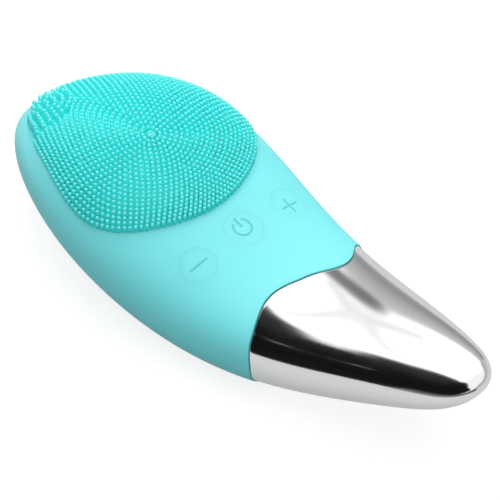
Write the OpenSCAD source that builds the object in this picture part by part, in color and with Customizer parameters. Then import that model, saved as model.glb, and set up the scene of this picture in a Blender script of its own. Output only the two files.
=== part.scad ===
// Facial cleansing brush: soft bristled silicone head, moulded keys and a bright metal massage tail.
// Millimetres. +X runs from the head tip to the tail tip, +Y across, +Z up through the bristles.
// The origin is on the floor plane, midway along the body, on its centre line.

/* [Body] */
// length from the head tip to the tail tip
body_length = 140; // [125:1:155]
// widest width across the head
body_width = 56; // [50:1:62]
// deepest depth through the head, bristles left out
body_depth = 28; // [25:0.5:32]
// height that the tail tip rises above the lowest point of the back
tail_lift = 26; // [18:1:30]
// how square the cross-sections are: 2 is an ellipse
squareness = 2.45; // [2:0.05:3]
// depth of the back that is flattened so that the brush lies still
flat_depth = 1.6; // [0.8:0.1:2.5]

/* [Shells] */
// thickness of the silicone sleeve
sleeve_wall = 2; // [1.6:0.1:2.4]
// thickness of the hard inner shell
shell_wall = 1.6; // [1.4:0.1:2]
// thickness of the metal tail cover
cover_wall = 1.2; // [0.8:0.1:1.4]
// how far the metal lies under the silicone beside it
cover_step = 0.3; // [0.2:0.05:0.5]
// width of the groove between the sleeve and the metal, in degrees of sweep
seam_gap = 0.5; // [0.4:0.1:1]
// clearance between parts that are glued or clipped together
fit_gap = 0.05; // [0.03:0.01:0.1]
// clearance between the curved skins, which lie one inside another
skin_gap = 0.2; // [0.15:0.05:0.3]

/* [Bristles] */
// height of the bristles
bristle_height = 2.6; // [2:0.1:4]
// distance from the head tip to the first bristles
pad_start = 4.2; // [4:0.2:8]
// distance from the head tip to the last bristles
pad_end = 63; // [55:0.5:64]

/* [Keys] */
// distance of the keys from the head tip
keys_from_tip = 70.7; // [69:0.1:74]
// distance from the middle key to the plus and minus keys
keys_apart = 14.2; // [13:0.1:15]
// radius of the middle key
power_key_r = 4.6; // [4:0.1:5]
// radius of the plus and minus keys
side_key_r = 4.2; // [3.6:0.1:4.6]
// gap round a key, closed by the thin skin of the sleeve
key_gap = 0.3; // [0.2:0.05:0.4]
// travel of a key
key_travel = 0.35; // [0.2:0.05:0.4]
// radius of the pin under a key
plunger_r = 1.5; // [1.2:0.1:1.8]

/* [Motor] */
// radius of the motor can
can_r = 6; // [5:0.1:6.2]
// length of the motor can
can_length = 16; // [12:0.5:18]
// radius of the motor shaft
shaft_r = 0.75; // [0.5:0.05:1]
// radial clearance of the shaft in its bearings
shaft_gap = 0.03; // [0.01:0.01:0.08]
// radius of the off-centre weight
weight_r = 4.6; // [4:0.1:5]

/* [Electronics] */
// battery length, width and height
battery_size = [30, 22, 4.6];
// thickness of the circuit board
board_thickness = 1.2; // [0.8:0.1:1.6]
// depth of the board under the middle key
board_depth = 8.4; // [8:0.1:9]
// radius of a charging pin
pin_r = 1.2; // [0.8:0.1:1.5]
// distance between the two charging pins
pin_pitch = 5; // [4:0.5:6]
// radius of a screw's shank
screw_r = 1; // [0.8:0.1:1.2]

/* [Hidden] */
// Seven stations from the head tip to the tail tip, one every 30 degrees of sweep, as shares of a size.
width_shares = [1.025, 1.025, 1.08, 0.913, 0.743, 0.735, 0.875];
depth_shares = [1.13, 1.065, 1.13, 0.915, 0.80, 0.82, 0.893];
lift_shares = [0.68, 0.752, 0.825, 0.50, 0.60, 0.892, 1.005];
// Five stations from the first to the last bristle, one every 45 degrees, as half widths.
pad_shares = [0.57, 0.64, 0.814, 1.048, 1.013];
wide = curve_terms(width_shares * body_width / 2);
deep = curve_terms(depth_shares * body_depth / 2);
lift = curve_terms(lift_shares * tail_lift);
pad_wide = curve_terms(pad_shares * body_width / 2);
// The centre line is set so that only flat_depth of the back would reach below the floor plane.
lowest = min([for (t = [60:1:120]) along(lift, t) - along(deep, t) * sin(t)]);
lay = -lowest - flat_depth;
shell_out = sleeve_wall + skin_gap;
shell_in = shell_out + shell_wall;
cover_in = cover_step + cover_wall;
rows = round(body_length * 3 / 14);
columns = 48;

silicone = [0.47, 0.89, 0.9];
bristle_blue = [0.2, 0.85, 0.85];
chrome = [0.9, 0.9, 0.92];
dark_rubber = [0.12, 0.13, 0.14];
shell_white = [0.85, 0.87, 0.88];
steel = [0.7, 0.7, 0.72];
board_green = [0.08, 0.32, 0.2];
gold = [0.85, 0.68, 0.3];

// ---- sums and curves ----
function sum(v, i = 0) = i == len(v) ? 0 : v[i] + sum(v, i + 1);
// Terms of the cosine curve that passes through evenly spaced stations.
function end_share(k, n) = k == 0 || k == n ? 0.5 : 1;
function curve_terms(v) = let (n = len(v) - 1) [for (k = [0:n])
  2 / n * end_share(k, n) * sum([for (j = [0:n]) end_share(j, n) * v[j] * cos(180 * k * j / n)])];
function along(terms, t) = sum([for (k = [0:len(terms) - 1]) terms[k] * cos(k * t)]);
// Cosine or sine bent so that a ring of them is a squarish oval.
function bend(c) = sign(c) * pow(abs(c), 2 / squareness);
function unit(v) = v / norm(v);

// ---- the outside surface ----
// t is the sweep, 0 at the head tip and 180 at the tail tip; a is the ring angle, 90 on top;
// d is the depth under the outside surface.
function mid(t) = lay + along(lift, t);
function skin(t, a, d) = [
  from_tip(d + (body_length / 2 - d) * (1 - cos(t))),
  (along(wide, t) - d) * sin(t) * bend(cos(a)),
  max(d, mid(t) + (along(deep, t) - d) * sin(t) * bend(sin(a)))];
// The same surface from above: height over a point, and the normal there.
function sweep_at(x, d = 0) = acos(1 - (x - from_tip(d)) / (body_length / 2 - d));
function reach_at(t, y, d) = (along(deep, t) - d) * sin(t)
  * pow(max(0, 1 - pow(abs(y) / ((along(wide, t) - d) * sin(t)), squareness)), 1 / squareness);
function top_at(x, y) = let (t = sweep_at(x)) mid(t) + reach_at(t, y, 0);
function normal_at(x, y, e = 0.2) =
  unit([top_at(x - e, y) - top_at(x + e, y), top_at(x, y - e) - top_at(x, y + e), 2 * e]);
function mid_at(x) = mid(sweep_at(x));
// Height of the inner shell's floor under a flat piece that is centred on the body.
function floor_at(x, y) = let (t = sweep_at(x, shell_in)) max(shell_in, mid(t) - reach_at(t, y, shell_in));
function floor_under(x, size) =
  max([for (dx = [-1, 0, 1]) for (y = [0, size[1]]) floor_at(x + dx * size[0] / 2, y / 2)]);
function from_tip(x) = x - (body_length - cover_step) / 2;

// The seam between silicone and metal is an S-shaped wave round the body.
function seam(a) = 106.15 - 2.1 * cos(a) + 0.1 * cos(2 * a) + 1.4 * sin(2 * a) - 0.6 * cos(3 * a)
  - 0.7 * sin(4 * a) + 0.5 * cos(5 * a) + 0.4 * cos(6 * a) + 0.2 * sin(6 * a);
head_tip = function (a) 0;
tail_tip = function (a) 180;
sleeve_end = function (a) seam(a);
cover_start = function (a) seam(a) + seam_gap;
seam_play = 0.04;

// ---- solids under the surface ----
function quad(p, q, r, s) =
  [for (f = [[p, q, r], [p, r, s]]) if (f[0] != f[1] && f[1] != f[2] && f[2] != f[0]) f];

// Closed solid between two depths, two sweeps and two ring angles.
module band(d_out, d_in, from, to, a_from = 0, a_to = 360, m = rows, cols = columns) {
  whole = a_to - a_from == 360;
  n = whole ? cols : cols + 1;
  side = (m + 1) * n;
  ring = [for (j = [0:n - 1]) a_from + (a_to - a_from) * j / cols];
  points = [for (d = [d_out, d_in]) for (i = [0:m]) for (a = ring)
    skin(from(a) + (to(a) - from(a)) * i / m, a, d)];
  function at_pole(i) = i == 0 && from(0) == 0 || i == m && to(0) == 180;
  function id(s, i, j) = s * side + i * n + (at_pole(i) ? 0 : j % n);
  faces = [for (i = [0:m - 1]) for (j = [0:cols - 1]) for (f = concat(
      quad(id(0, i, j), id(0, i + 1, j), id(0, i + 1, j + 1), id(0, i, j + 1)),
      quad(id(1, i, j), id(1, i, j + 1), id(1, i + 1, j + 1), id(1, i + 1, j)))) f];
  ends = [for (j = [0:cols - 1]) for (f = concat(
      at_pole(0) ? [] : quad(id(0, 0, j), id(0, 0, j + 1), id(1, 0, j + 1), id(1, 0, j)),
      at_pole(m) ? [] : quad(id(0, m, j + 1), id(0, m, j), id(1, m, j), id(1, m, j + 1)))) f];
  sides = whole ? [] : [for (i = [0:m - 1]) for (f = concat(
      quad(id(0, i + 1, 0), id(0, i, 0), id(1, i, 0), id(1, i + 1, 0)),
      quad(id(0, i, cols), id(0, i + 1, cols), id(1, i + 1, cols), id(1, i, cols)))) f];
  polyhedron(points, concat(faces, ends, sides), convexity = 6);
}

// Everything deeper than d, as one solid.
module core(d, m = 20, cols = 36) {
  points = [for (i = [0:m]) for (j = [0:cols - 1]) skin(180 * i / m, 360 * j / cols, d)];
  function id(i, j) = i * cols + (i == 0 || i == m ? 0 : j % cols);
  polyhedron(points, [for (i = [0:m - 1]) for (j = [0:cols - 1])
    for (f = quad(id(i, j), id(i + 1, j), id(i + 1, j + 1), id(i, j + 1))) f], convexity = 4);
}

// Shapes cut from the curved surface are worked out together, at the size they have.
module as_one() resize([0, 0, 0]) children();

// ---- places ----
keys_x = from_tip(keys_from_tip);
key_normal = normal_at(keys_x, 0);
key_tilt = atan2(key_normal[0], key_normal[2]);
// The three keys travel along one direction, square to the circuit board.
module at_key(y) translate([keys_x, y, top_at(keys_x, y)]) rotate([0, key_tilt, 0]) children();
function board_below(y) = board_depth - (top_at(keys_x, 0) - top_at(keys_x, y)) * cos(key_tilt);
key_skin = sleeve_wall - 0.6;
switch_size = [4.4, 4.4, 1.8];
switch_nub = 0.4;
motor_x = from_tip(21.5);
motor_z = mid_at(from_tip(26));
motor_front = 1;
end_cap_length = 2;
screw_spots = [for (p = [[47, 18.2], [104, 8.8]]) for (s = [-1, 1]) [from_tip(p[0]), s * p[1]]];
screw_reach = 4.5;
head_height = 1.3;
block_x = from_tip(body_length * 38 / 70);
pocket_depth = 0.6;
block_flange = 1;
block_size = [24, 8];
flange_play = 0.4;
flange_z = floor_under(block_x, [block_size[1], block_size[0]] + 2 * flange_play * [1, 1]) + fit_gap;
magnet_y = 8.6;
wire_r = 0.45;
wire_off = wire_r + 3 * fit_gap;
charge_lead_z = flange_z + block_flange + wire_off;
// Points of the board in the keys' frame, and the height of a plane that deep under the middle key.
board_from = -13;
board_to = 26;
board_posts = [for (p = [[-9, 11], [20, 7.5]]) for (s = [-1, 1]) [p[0], s * p[1]]];
lamp_at = 8;
lamp_r = 1;
function plane_z(x, deep_under) =
  top_at(keys_x, 0) - (deep_under + (x - keys_x) * sin(key_tilt)) / cos(key_tilt);
board_mid = board_depth + board_thickness / 2;
board_front = keys_x + board_from * cos(key_tilt) - board_depth * sin(key_tilt) - wire_off;
board_back = keys_x + board_to * cos(key_tilt) - board_depth * sin(key_tilt) + wire_off;
// The battery lies between the floor of the inner shell and the circuit board.
battery_x = from_tip(body_length * 33 / 70);
battery_front = battery_x - battery_size[0] / 2;
battery_back = battery_x + battery_size[0] / 2;
battery_floor = floor_under(battery_x, battery_size);
battery_room = min([for (x = [max(battery_front, board_front), min(battery_back, board_back)])
  plane_z(x, board_depth + board_thickness)]) - battery_size[2] - battery_floor;
battery_z = battery_floor + 0.65 * battery_room;
leads_front = min(battery_front - wire_off, board_front - board_thickness * sin(key_tilt));

// ---- soft outside ----
module power_hole(r, depth) at_key(0) translate([0, 0, -depth]) cylinder(h = depth + 3, r = r, $fn = 40);
module side_hole(s, r, depth)
  at_key(s * keys_apart) translate([0, 0, -depth]) cylinder(h = depth + 3, r = r, $fn = 36);

module oblong(length, width, height, fn = 36)
  hull() for (s = [-1, 1]) translate([0, s * (length - width) / 2, 0])
    cylinder(h = height, d = width, $fn = fn);

pocket_size = [11.4, 6.4];
module silicone_sleeve() color(silicone) as_one() difference() {
  band(0, sleeve_wall, head_tip, sleeve_end);
  power_hole(power_key_r + key_gap, 5);
  for (s = [-1, 1]) side_hole(s, side_key_r + key_gap, 5);
  translate([block_x, 0, -1]) oblong(pocket_size[0], pocket_size[1], sleeve_wall + 2);
}

// The bristles fill this low cushion, which follows the sleeve.
pad_reach = (pad_end - pad_start) / 2;
pad_x = from_tip((pad_start + pad_end) / 2);
function pad_point(b, share) =
  share * [-pad_reach * cos(b), along(pad_wide, b <= 180 ? b : 360 - b) * sin(b)] + [pad_x, 0];
function pad_spot(b, share, h) = let (p = pad_point(b, share))
  [p[0], p[1], top_at(p[0], p[1])] + h * normal_at(p[0], p[1]);
module bristle_field() {
  m = 9;
  n = 48;
  heights = [skin_gap, bristle_height];
  points = concat([for (h = heights) pad_spot(0, 0, h)],
    [for (h = heights) for (i = [1:m]) for (j = [0:n - 1]) pad_spot(360 * j / n, i / m, h)]);
  function id(s, i, j) = i == 0 ? s : 2 + s * m * n + (i - 1) * n + j % n;
  color(bristle_blue) polyhedron(points, concat(
    [for (i = [0:m - 1]) for (j = [0:n - 1]) for (f = concat(
      quad(id(1, i, j), id(1, i, j + 1), id(1, i + 1, j + 1), id(1, i + 1, j)),
      quad(id(0, i, j), id(0, i + 1, j), id(0, i + 1, j + 1), id(0, i, j + 1)))) f],
    [for (j = [0:n - 1]) for (f = quad(id(0, m, j), id(1, m, j), id(1, m, j + 1), id(0, m, j + 1))) f]));
}

// ---- metal tail ----
module tail_cover() color(chrome)
  band(cover_step, cover_in, cover_start, tail_tip, m = 16);
module tail_seal() color(dark_rubber)
  band(cover_step + 0.3, shell_out - skin_gap, function (a) seam(a) + seam_play,
    function (a) seam(a) + seam_gap - seam_play, m = 1);

// ---- inner shell ----
module post(x, y, r, z_from, z_to, fn = 24)
  translate([x, y, z_from]) cylinder(h = z_to - z_from, r = r, $fn = fn);

module shell_top() color(shell_white) as_one() difference() {
  union() {
    band(shell_out, shell_in, head_tip, tail_tip, 0.4, 179.6, m = 30, cols = 20);
    intersection() {
      core(shell_out + 0.4);
      union() {
        for (p = screw_spots)
          post(p[0], p[1], 2.6, mid_at(p[0]) + fit_gap, mid_at(p[0]) + body_depth);
        for (p = board_posts)
          at_key(0) post(p[0], p[1], 1.6, fit_gap - board_depth, 0, 16);
      }
    }
  }
  for (p = screw_spots)
    post(p[0], p[1], screw_r + 0.03, mid_at(p[0]) - 1, mid_at(p[0]) + screw_reach + 0.5);
  for (y = [-keys_apart, 0, keys_apart])
    at_key(y) post(0, 0, plunger_r + key_gap, -board_depth, shell_out);
  at_key(0) post(lamp_at, 0, lamp_r + key_gap, -board_depth, shell_out, 20);
  for (x = [film_wire_x, sensor_x]) post(x, 0, 1.6, mid_at(x), mid_at(x) + body_depth, 20);
}

module shell_bottom() color(shell_white) as_one() difference() {
  union() {
    band(shell_out, shell_in, head_tip, tail_tip, 180.4, 359.6, m = 30, cols = 20);
    intersection() {
      core(shell_out + 0.4);
      union() {
        for (p = screw_spots)
          post(p[0], p[1], 3.1, -1, mid_at(p[0]) - fit_gap);
        for (x = [motor_x + 4, motor_x + 11])
          translate([x, -9, 0]) cube([1.6, 18, motor_z]);
      }
    }
  }
  for (p = screw_spots) {
    post(p[0], p[1], screw_r + 0.2, -1, mid_at(p[0]) + 1);
    post(p[0], p[1], 2.2, -1, mid_at(p[0]) - screw_reach);
  }
  translate([motor_x, 0, motor_z]) rotate([0, 90, 0])
    cylinder(h = can_length + 4, r = can_r + boot_wall + fit_gap, $fn = 48);
  translate([block_x, 0, -1]) oblong(pocket_size[0], pocket_size[1], shell_in + 2);
}

module shell_screws() color(steel) for (p = screw_spots)
  translate([p[0], p[1], mid_at(p[0]) - screw_reach]) {
    cylinder(h = 2 * screw_reach, r = screw_r);
    difference() {
      translate([0, 0, -head_height]) cylinder(h = head_height, r = 1.9);
      for (w = [[0.5, 2.2], [2.2, 0.5]])
        translate([-w[0] / 2, -w[1] / 2, -head_height - 1]) cube([w[0], w[1], 1.7]);
    }
  }

// ---- keys ----
// The top of a key is a round of the sleeve's own surface, finely divided.
module key_top(y, r) color(silicone) as_one() intersection() {
  band(0, key_skin, function (a) sweep_at(keys_x) - 9, function (a) sweep_at(keys_x) + 9, 15, 165,
    m = 12, cols = 60);
  at_key(y) translate([0, 0, -5]) cylinder(h = 10, r = r, $fn = 40);
}
module power_key() key_top(0, power_key_r);
module plus_key() key_top(keys_apart, side_key_r);
module minus_key() key_top(-keys_apart, side_key_r);

// Each pin reaches from under the key's skin to just over the switch.
function side_slope(y) = let (v = normal_at(keys_x, y)) abs(v[1]) / v[2];
module plunger(y) color(shell_white) at_key(y) {
  top = key_skin + (plunger_r + 0.3) * side_slope(y) + 3 * fit_gap;
  foot = board_below(y) - switch_size[2] - switch_nub - key_travel - fit_gap;
  translate([0, 0, -foot]) cylinder(h = foot - top, r = plunger_r);
}
module power_plunger() plunger(0);
module plus_plunger() plunger(keys_apart);
module minus_plunger() plunger(-keys_apart);

module switch_at(y) color(steel) at_key(y) translate([0, 0, -board_below(y)]) {
  translate([-switch_size[0] / 2, -switch_size[1] / 2, 0]) cube(switch_size);
  cylinder(h = switch_size[2] + switch_nub, r = 1);
}
module power_switch() switch_at(0);
module plus_switch() switch_at(keys_apart);
module minus_switch() switch_at(-keys_apart);

// ---- electronics ----
module circuit_board() color(board_green) at_key(0)
  translate([0, 0, -board_depth - board_thickness]) linear_extrude(board_thickness)
    polygon([[board_from, -13], [board_from + 4, -17], [6, -17], [board_to, -9],
      [board_to, 9], [6, 17], [board_from + 4, 17], [board_from, 13]]);
module control_chip() color(dark_rubber) at_key(0)
  translate([12, -3, -board_depth]) cube([6, 6, 0.9]);
module indicator_lamp() color([0.9, 0.95, 0.9]) at_key(0)
  translate([lamp_at, 0, -board_depth]) {
    translate([-1, -0.8, 0]) cube([2, 1.6, 0.6]);
    cylinder(h = board_depth - shell_out - 0.2, r = lamp_r);
  }
module battery() color([0.75, 0.77, 0.8])
  translate([battery_x - battery_size[0] / 2, -battery_size[1] / 2, battery_z]) cube(battery_size);
pad_size = [8, 14, 1];
module battery_pad() color(dark_rubber)
  translate([battery_front + 6, -pad_size[1] / 2, battery_z - pad_size[2] - fit_gap]) cube(pad_size);

// ---- motor ----
boot_wall = 1;
module at_motor(x = 0) translate([motor_x + x, 0, motor_z]) rotate([0, 90, 0]) children();
module tube(h, r_out, r_in) difference() {
  cylinder(h = h, r = r_out);
  translate([0, 0, -1]) cylinder(h = h + 2, r = r_in);
}
module motor_can() color(steel) at_motor() {
  tube(can_length, can_r, can_r - 0.6);
  tube(motor_front, can_r - 0.3, 2.5);
}
module motor_magnets() color(dark_rubber) at_motor(motor_front + 1.5)
  tube(can_length - 5, can_r - 0.6 - fit_gap, can_r - 2);
module motor_end_cap() color(dark_rubber) at_motor(can_length + fit_gap)
  tube(end_cap_length, can_r, shaft_r + shaft_gap);
module motor_bushing() color(gold) at_motor(-0.6)
  tube(motor_front + 1.4, 2.5 - fit_gap, shaft_r + shaft_gap);
module motor_boot() color(dark_rubber) at_motor(3)
  tube(can_length - 5, can_r + boot_wall, can_r + fit_gap);
module motor_shaft() color(steel) at_motor(-6.4) cylinder(h = can_length + 6.4 + 1.5, r = shaft_r);
module motor_armature() color([0.7, 0.4, 0.2]) at_motor(motor_front + 2)
  tube(can_length - 6, can_r - 2.4, shaft_r + 0.01);
module eccentric_weight() color(steel) at_motor(-5.4) difference() {
  union() {
    intersection() {
      cylinder(h = 4, r = weight_r);
      translate([-0.6, -weight_r, 0]) cube([weight_r + 1, 2 * weight_r, 4]);
    }
    cylinder(h = 4, r = 1.9);
  }
  translate([0, 0, -1]) cylinder(h = 6, r = shaft_r + 0.01);
}

// ---- charging ----
module contact_block() color(dark_rubber) difference() {
  union() {
    translate([block_x, 0, pocket_depth])
      oblong(pocket_size[0] - 0.2, pocket_size[1] - 0.2, flange_z - pocket_depth + 0.5);
    translate([block_x, 0, flange_z]) oblong(block_size[0], block_size[1], block_flange);
  }
  for (s = [-1, 1]) {
    translate([block_x, s * pin_pitch / 2, 0]) cylinder(h = 9, r = pin_r + 0.02);
    translate([block_x, s * magnet_y, 0]) cylinder(h = 9, r = 2.6);
  }
}
module charge_pins() color(gold) for (s = [-1, 1])
  translate([block_x, s * pin_pitch / 2, pocket_depth])
    cylinder(h = charge_lead_z + wire_r - pocket_depth, r = pin_r);
module charge_magnets() color(steel) for (s = [-1, 1])
  translate([block_x, s * magnet_y, flange_z]) cylinder(h = 1.3, r = 2.5);

// ---- heater ----
film_wire_x = from_tip(112);
sensor_x = from_tip(120);
module heater_film() color([0.8, 0.45, 0.15])
  band(cover_in + skin_gap / 2, shell_out - skin_gap, function (a) 118, function (a) 158, 40, 140, m = 10, cols = 16);
module heat_sensor() color(dark_rubber) {
  z = top_at(sensor_x, 0) - shell_out - 0.15;
  translate([sensor_x, 0, z - 1.4]) cylinder(h = 1.4, r = 1);
}

// ---- wiring, held inside ----
module wire(path) for (i = [0:len(path) - 2]) hull() for (p = [path[i], path[i + 1]])
  translate(p) sphere(r = wire_r, $fn = 6);
motor_back = motor_x + can_length + end_cap_length + fit_gap;
module motor_leads() color([0.7, 0.1, 0.1]) as_one() for (s = [-1, 1])
  wire([[motor_back + wire_off, 3 * s, motor_z], [motor_back + 4, 4 * s, motor_z],
    [board_front, 6 * s, plane_z(board_front, board_mid)]]);
module battery_leads() color([0.1, 0.1, 0.1]) as_one() for (s = [-1, 1])
  wire([[battery_front - wire_off, 7 * s, battery_z + 3],
    [leads_front, 7.5 * s, battery_z + 3], [leads_front, 8 * s, battery_z + 7],
    [board_front, 9.5 * s, plane_z(board_front, board_mid)]]);
module heater_leads() color([0.9, 0.9, 0.9]) as_one() for (s = [-1, 1])
  wire([[film_wire_x, 0.8 * s, top_at(film_wire_x, 0) - shell_out - 0.5],
    [film_wire_x - 4, 1.6 * s, top_at(film_wire_x, 0) - 10],
    [board_back, 3 * s, plane_z(board_back, board_mid)]]);
module charge_leads() color([0.7, 0.1, 0.1]) as_one() for (s = [-1, 1])
  wire([[block_x + pin_r + wire_off, s * pin_pitch / 2, charge_lead_z],
    [block_x + 9, s * pin_pitch / 2, charge_lead_z],
    [block_x + 12, s * 5, plane_z(block_x + 12, board_depth + board_thickness) - wire_off / cos(key_tilt)]]);

silicone_sleeve();
bristle_field();
tail_cover();
tail_seal();
shell_top();
shell_bottom();
shell_screws();
power_key();
plus_key();
minus_key();
power_plunger();
plus_plunger();
minus_plunger();
power_switch();
plus_switch();
minus_switch();
circuit_board();
control_chip();
indicator_lamp();
battery();
battery_pad();
motor_can();
motor_magnets();
motor_end_cap();
motor_bushing();
motor_boot();
motor_shaft();
motor_armature();
eccentric_weight();
contact_block();
charge_pins();
charge_magnets();
heater_film();
heat_sensor();
motor_leads();
battery_leads();
heater_leads();
charge_leads();
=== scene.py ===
"""Looks of the facial cleansing brush: its skin, bristles, keys, metal tail, inner parts and the stage."""

import math

import bpy
import numpy as np
from bpy.props import FloatProperty, FloatVectorProperty, IntProperty, PointerProperty
from bpy.types import Operator, Panel, PropertyGroup
from mathutils import Matrix, Vector


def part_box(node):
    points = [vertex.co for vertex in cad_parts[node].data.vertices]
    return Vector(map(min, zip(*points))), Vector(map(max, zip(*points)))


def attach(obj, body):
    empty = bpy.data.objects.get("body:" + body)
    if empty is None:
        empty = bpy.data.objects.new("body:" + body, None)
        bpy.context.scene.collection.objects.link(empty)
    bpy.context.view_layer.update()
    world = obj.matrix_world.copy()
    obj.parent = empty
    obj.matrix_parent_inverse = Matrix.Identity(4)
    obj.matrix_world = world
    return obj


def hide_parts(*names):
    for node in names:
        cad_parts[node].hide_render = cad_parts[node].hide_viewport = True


bl_info = {
    "name": "Facial cleansing brush",
    "version": (1, 0, 0),
    "blender": (4, 5, 0),
    "location": "View3D > Sidebar > Brush",
    "description": "Builds the looks of a facial cleansing brush around its packed frame",
    "category": "Object",
}

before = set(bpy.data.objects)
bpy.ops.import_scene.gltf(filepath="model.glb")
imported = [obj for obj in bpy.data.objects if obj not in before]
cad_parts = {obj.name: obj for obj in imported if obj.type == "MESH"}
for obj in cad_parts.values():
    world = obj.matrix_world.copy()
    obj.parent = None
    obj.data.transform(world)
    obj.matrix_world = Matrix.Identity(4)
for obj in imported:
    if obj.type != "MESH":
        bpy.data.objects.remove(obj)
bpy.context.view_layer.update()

MM = 0.001
DEGREE = math.pi / 180

# Shares of a size at stations evenly apart in sweep, from the head tip to the tail tip, as in the
# construction. The pad's go from one end of the bristle field to the other.
WIDTH_SHARES = (1.025, 1.025, 1.08, 0.913, 0.743, 0.735, 0.875)
DEPTH_SHARES = (1.13, 1.065, 1.13, 0.915, 0.80, 0.82, 0.893)
LIFT_SHARES = (0.68, 0.752, 0.825, 0.50, 0.60, 0.892, 1.005)
PAD_SHARES = (0.57, 0.64, 0.814, 1.048, 1.013)
FLOOR_ROUND = 0.3 * MM
SEAM_GAP = 0.5 * DEGREE
# The head's tip, then where the bristle field starts and ends, from that tip.
HEAD_TIP = -69.85 * MM
PAD_START = 4.2 * MM
PAD_END = 63 * MM
PAD_REACH = (PAD_END - PAD_START) / 2
PAD_MID = (PAD_END + PAD_START) / 2 + HEAD_TIP
CROWN_RUN = 6 * MM
ON_SKIN = 0.02 * MM


# ---- settings a user may change ----
def length_setting(name, description, millimetres):
    return FloatProperty(name=name, description=description, default=millimetres * MM, unit="LENGTH")


def angle_setting(name, description, degrees):
    return FloatProperty(name=name, description=description, default=degrees * DEGREE, subtype="ANGLE")


def colour_setting(name, description, *linear):
    return FloatVectorProperty(name=name, description=description, default=linear, subtype="COLOR")


class BrushBody(PropertyGroup):
    """Sizes of the outside surface, the same as the construction's."""

    length: length_setting("Length", "Head tip to tail tip", 140)
    width: length_setting("Width", "Widest width of the head", 56)
    depth: length_setting("Depth", "Deepest depth of the head", 28)
    tail_lift: length_setting("Tail lift", "Rise of the tail tip over the back", 26)
    squareness: FloatProperty(
        name="Squareness", description="Power of the squarish cross-sections, 2 is an ellipse", default=2.45)
    flat_depth: length_setting("Flat depth", "Depth of the flattened back", 1.6)
    cover_step: length_setting("Metal step", "How far the metal lies under the silicone", 0.3)
    sleeve_wall: length_setting("Sleeve wall", "Thickness of the silicone sleeve", 2)
    cover_wall: length_setting("Metal wall", "Thickness of the metal tail cover", 1.2)
    groove: angle_setting("Groove", "Sweep between silicone and metal", 0.2)


class BrushBristles(PropertyGroup):
    """Sizes of the bristles and their layout."""

    pitch: length_setting("Pitch", "Distance between fine bristles along a ring", 1.25)
    ring_pitch: length_setting("Ring pitch", "Distance from ring to ring", 1.10)
    height: length_setting("Height", "Height of a fine bristle", 1.6)
    crown: length_setting("Crown", "Rise of the skin under the bristles", 0.8)
    radius: length_setting("Radius", "Radius at a bristle's foot", 0.48)
    tip_radius: length_setting("Tip radius", "Radius at a tip", 0.42)
    long_height: length_setting("Long height", "Height of a long bristle", 2.3)
    long_radius: length_setting("Long radius", "Radius at a long bristle's foot", 0.60)
    long_tip_radius: length_setting("Long tip radius", "Radius at a long bristle's tip", 0.46)
    long_pitch: length_setting("Long pitch", "Distance between rows of long bristles", 1.76)
    sides: IntProperty(name="Sides", description="Sides of one bristle", default=10, min=6, max=24)


class BrushFinish(PropertyGroup):
    """Colours, as linear values."""

    skin: colour_setting("Skin", "Silicone of the body", 0.21, 0.86, 0.90)
    # Darker colour for painted shade on the skin between the bristles and at the bristles' feet.
    skin_painted_shade: colour_setting("Between bristles", "Silicone seen between the bristles", 0.05, 0.90, 0.88)
    # Lighter colour for painted light on the bristles' tips.
    tip_painted_light: colour_setting("Bristle tip", "Silicone at the tips", 0.215, 1.0, 1.0)


class BrushStage(PropertyGroup):
    """Where the camera stands and how strong the lights are."""

    elevation: angle_setting("Elevation", "Camera above the floor", 44.47)
    turn: angle_setting("Turn", "Camera round the object", 43.71)
    roll: angle_setting("Roll", "Camera about its own axis", 0.81)
    distance: length_setting("Distance", "Camera to the middle of the object", 492.5)
    lens: FloatProperty(name="Lens", description="Focal length on a 36 mm sensor", default=156.3)
    softbox: FloatProperty(
        name="Softbox", description="Power of the soft light behind", default=4.0, unit="POWER")
    overhead: FloatProperty(
        name="Overhead", description="Power of the soft light above", default=6.8, unit="POWER")
    ambient: FloatProperty(name="Ambient", description="Light from all round", default=0.45)


# ---- the outside surface ----
def curve_terms(stations):
    """Terms of the cosine curve that passes through evenly spaced stations."""
    n = len(stations) - 1

    def end_share(k):
        return 0.5 if k in (0, n) else 1.0

    return [2 / n * end_share(k) * sum(end_share(j) * v * math.cos(math.pi * k * j / n)
                                       for j, v in enumerate(stations)) for k in range(n + 1)]


def along(terms, t):
    """The cosine curve's value at sweep t."""
    return sum(c * np.cos(k * t) for k, c in enumerate(terms))


def seam(a):
    """Sweep of the wave where the silicone ends, at ring angle a."""
    return DEGREE * (
        106.15 - 2.1 * np.cos(a) + 0.1 * np.cos(2 * a) + 1.4 * np.sin(2 * a) - 0.6 * np.cos(3 * a)
        - 0.7 * np.sin(4 * a) + 0.5 * np.cos(5 * a) + 0.4 * np.cos(6 * a) + 0.2 * np.sin(6 * a))


def unit(v):
    """Vectors of length one."""
    return v / np.maximum(np.linalg.norm(v, axis=-1, keepdims=True), 1e-12)


def smooth_step(edge, width, x):
    """0 below the edge, 1 above it, with a soft ramp that wide."""
    s = np.clip((x - edge) / width + 0.5, 0, 1)
    return s * s * (3 - 2 * s)


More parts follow.
